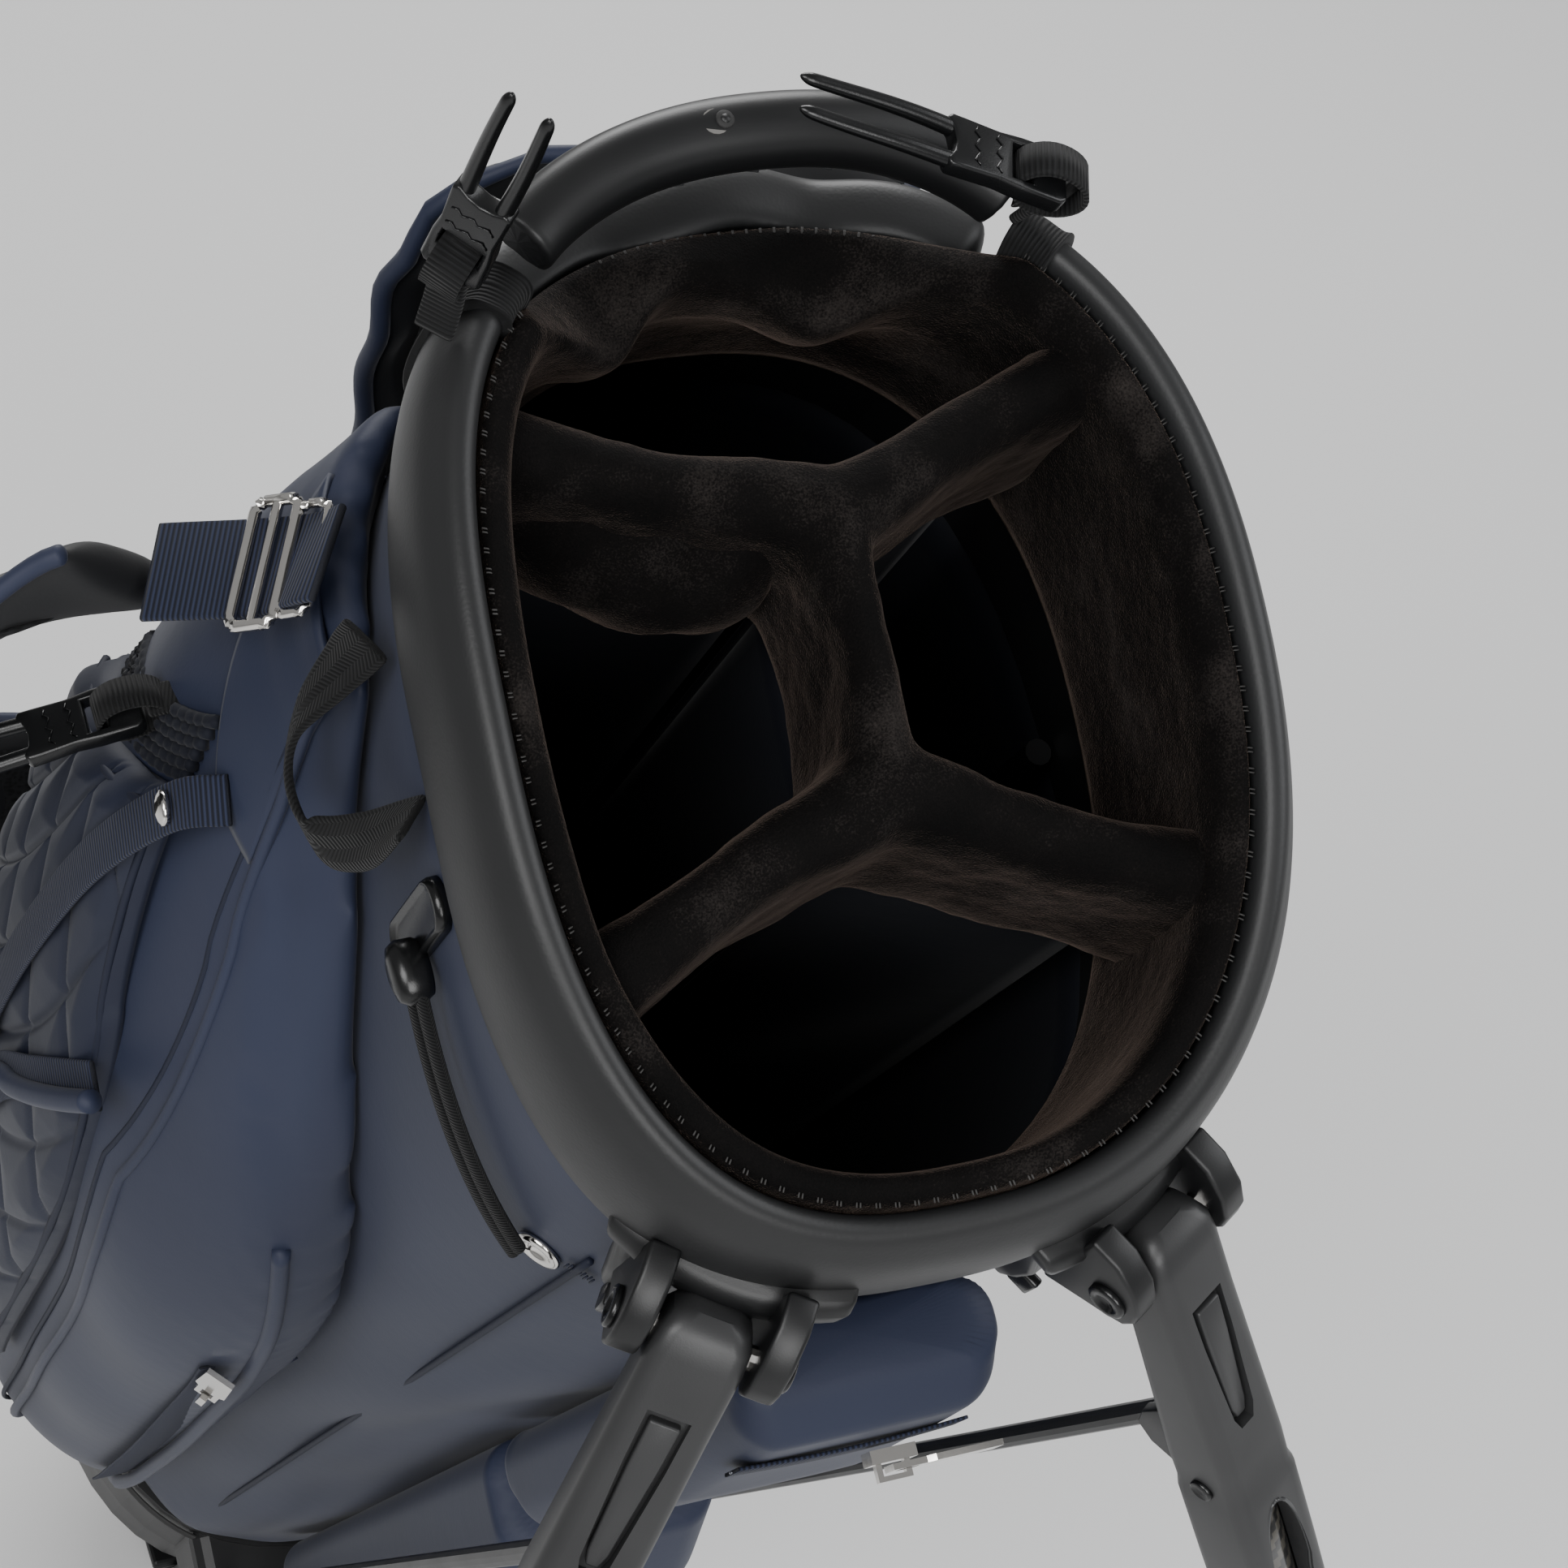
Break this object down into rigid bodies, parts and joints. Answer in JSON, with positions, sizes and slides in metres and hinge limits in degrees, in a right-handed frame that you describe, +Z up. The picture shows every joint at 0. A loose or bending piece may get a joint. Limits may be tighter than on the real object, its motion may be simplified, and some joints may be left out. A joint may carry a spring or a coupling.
{
  "type": "golf stand bag",
  "caption": "Golf stand bag leaning on two swung-out legs and a tilting foot, with a padded oval mouth, plush club dividers, lift handle, clips, straps and zipped pockets.",
  "frame": {"origin": "on the floor, under the middle of the whole bag with its stand open", "axes": "+Z up from the floor, +Y from the leg side towards the back of the base, +X across the bag, towards its right when seen from the leg side"},
  "size_m": [0.6932, 0.7142, 0.9252],
  "materials": {
    "navy_fabric": "smooth twill",
    "quilted_fabric": "diamond quilted",
    "collar_leather": "matte padded",
    "plush_lining": "short-pile velour",
    "black_moulding": "satin moulded",
    "black_webbing": "ribbed grosgrain",
    "carbon_tube": "lacquered carbon weave",
    "black_rubber": "matte",
    "bright_metal": "polished"
  },
  "bodies": {
    "bag": {"back_lip_pad": "collar_leather", "ball_pocket": "navy_fabric", "base_housing": "black_moulding", "base_pin": "bright_metal", "bungee_anchor": "black_moulding", "bungee_cord": "black_webbing", "bungee_grommet": "bright_metal", "clip_left_loop": "black_webbing", "clip_right_loop": "black_webbing", "clip_side_loop": "black_webbing", "collar_pad": "collar_leather", "cuff_frame": "black_moulding", "divider_back": "plush_lining", "divider_curtain": "navy_fabric", "divider_front": "plush_lining", "divider_spine": "plush_lining", "front_pocket": "navy_fabric", "handle_binding_left": "black_webbing", "handle_binding_right": "black_webbing", "handle_screw": "bright_metal", "leg_bracket_left": "black_moulding", "leg_bracket_right": "black_moulding", "leg_pin_left": "bright_metal", "leg_pin_right": "bright_metal", "lift_handle": "black_moulding", "quilted_pouch_left": "quilted_fabric", "rim_lining": "plush_lining", "shell_back": "navy_fabric", "shell_front": "navy_fabric", "shell_left": "navy_fabric", "shell_right": "navy_fabric", "shoulder_strap_left": "black_webbing", "shoulder_strap_right": "black_webbing", "side_pocket_left": "navy_fabric", "side_pocket_right": "navy_fabric", "stay_left": "black_moulding", "stay_right": "black_moulding", "strap_slider_left": "bright_metal", "strap_webbing_left": "black_webbing", "strap_yoke": "navy_fabric", "towel_loop": "black_webbing"},
    "leg_left": {"leg_knuckle_left": "black_moulding", "leg_tube_left": "carbon_tube", "leg_foot_left": "black_rubber"},
    "leg_right": {"leg_knuckle_right": "black_moulding", "leg_tube_right": "carbon_tube", "leg_foot_right": "black_rubber"},
    "rod_left": {"actuator_rod_left": "black_moulding"},
    "rod_right": {"actuator_rod_right": "black_moulding"},
    "foot": {"base_foot": "black_moulding", "base_foot_pad": "black_rubber"},
    "clip_left": {"clip_left": "black_moulding"},
    "clip_right": {"clip_right": "black_moulding"},
    "clip_side": {"clip_side": "black_moulding"},
    "front_zip_slider": {"front_zip_slider": "bright_metal"},
    "front_zip_pull": {"front_zip_pull": "bright_metal"},
    "side_zip_left_slider": {"side_zip_left_slider": "bright_metal"},
    "side_zip_left_pull": {"side_zip_left_pull": "bright_metal"},
    "side_zip_right_slider": {"side_zip_right_slider": "bright_metal"},
    "side_zip_right_pull": {"side_zip_right_pull": "bright_metal"}
  },
  "joints": [
    {"name": "leg_left_swing", "type": "hinge", "parent": "bag", "child": "leg_left", "pos_m": [-0.0565, -0.21431, 0.69168], "axis": [0.848, -0.4679, -0.2488], "range_deg": [0, 42]},
    {"name": "leg_right_swing", "type": "hinge", "parent": "bag", "child": "leg_right", "pos_m": [0.0565, -0.21431, 0.69168], "axis": [0.848, 0.4679, 0.2488], "range_deg": [0, 42]},
    {"name": "base_foot_tilt", "type": "hinge", "parent": "bag", "child": "foot", "pos_m": [0, 0.18312, 0.006], "axis": [1, 0, 0], "range_deg": [0, 28]},
    {"name": "rod_left_swing", "type": "hinge", "parent": "leg_left", "child": "rod_left", "pos_m": [-0.0774, -0.21297, 0.61791], "axis": [0.848, -0.4679, -0.2488], "range_deg": [-46.8, 0]},
    {"name": "rod_right_swing", "type": "hinge", "parent": "leg_right", "child": "rod_right", "pos_m": [0.0774, -0.21297, 0.61791], "axis": [0.848, 0.4679, 0.2488], "range_deg": [-46.8, 0]},
    {"name": "clip_left_swing", "type": "hinge", "parent": "bag", "child": "clip_left", "pos_m": [-0.078, -0.05455, 0.86836], "axis": [0.7071, -0.6295, -0.3222], "range_deg": [-20, 20]},
    {"name": "clip_right_swing", "type": "hinge", "parent": "bag", "child": "clip_right", "pos_m": [0.057, -0.05284, 0.87153], "axis": [-0.3217, -0.9069, -0.2719], "range_deg": [-12, 8]},
    {"name": "clip_side_swing", "type": "hinge", "parent": "bag", "child": "clip_side", "pos_m": [-0.135, -0.00377, 0.6983], "axis": [-0.0042, -0.9806, -0.196], "range_deg": [-20, 20]},
    {"name": "front_zip_slide", "type": "slide", "parent": "bag", "child": "front_zip_slider", "axis": [-1, 0, 0], "range_m": [-0.014, 0.034]},
    {"name": "side_zip_left_slide", "type": "slide", "parent": "bag", "child": "side_zip_left_slider", "axis": [-0.0003, 0.4697, -0.8828], "range_m": [-0.24, 0]},
    {"name": "side_zip_right_slide", "type": "slide", "parent": "bag", "child": "side_zip_right_slider", "axis": [-0.0292, 0.4406, -0.8972], "range_m": [-0.24, 0]},
    {"name": "front_zip_pull_turn", "type": "hinge", "parent": "front_zip_slider", "child": "front_zip_pull", "pos_m": [0.01, -0.20228, 0.60181], "axis": [0, -0.4695, 0.8829], "range_deg": [-90, 0]},
    {"name": "side_zip_left_pull_turn", "type": "hinge", "parent": "side_zip_left_slider", "child": "side_zip_left_pull", "pos_m": [-0.11033, -0.03068, 0.44388], "axis": [-0.6917, 0.6374, 0.3394], "range_deg": [-90, 0]},
    {"name": "side_zip_right_pull_turn", "type": "hinge", "parent": "side_zip_right_slider", "child": "side_zip_right_pull", "pos_m": [0.11643, 0.00897, 0.46496], "axis": [-0.6709, -0.6741, -0.3092], "range_deg": [-90, 0]}
  ],
  "couplings": [
    {"joint": "leg_right_swing", "follows": "leg_left_swing", "ratio": 1},
    {"joint": "base_foot_tilt", "follows": "leg_left_swing", "ratio": 0.6665},
    {"joint": "rod_left_swing", "follows": "leg_left_swing", "ratio": -1.1128},
    {"joint": "rod_right_swing", "follows": "leg_left_swing", "ratio": -1.1128}
  ]
}
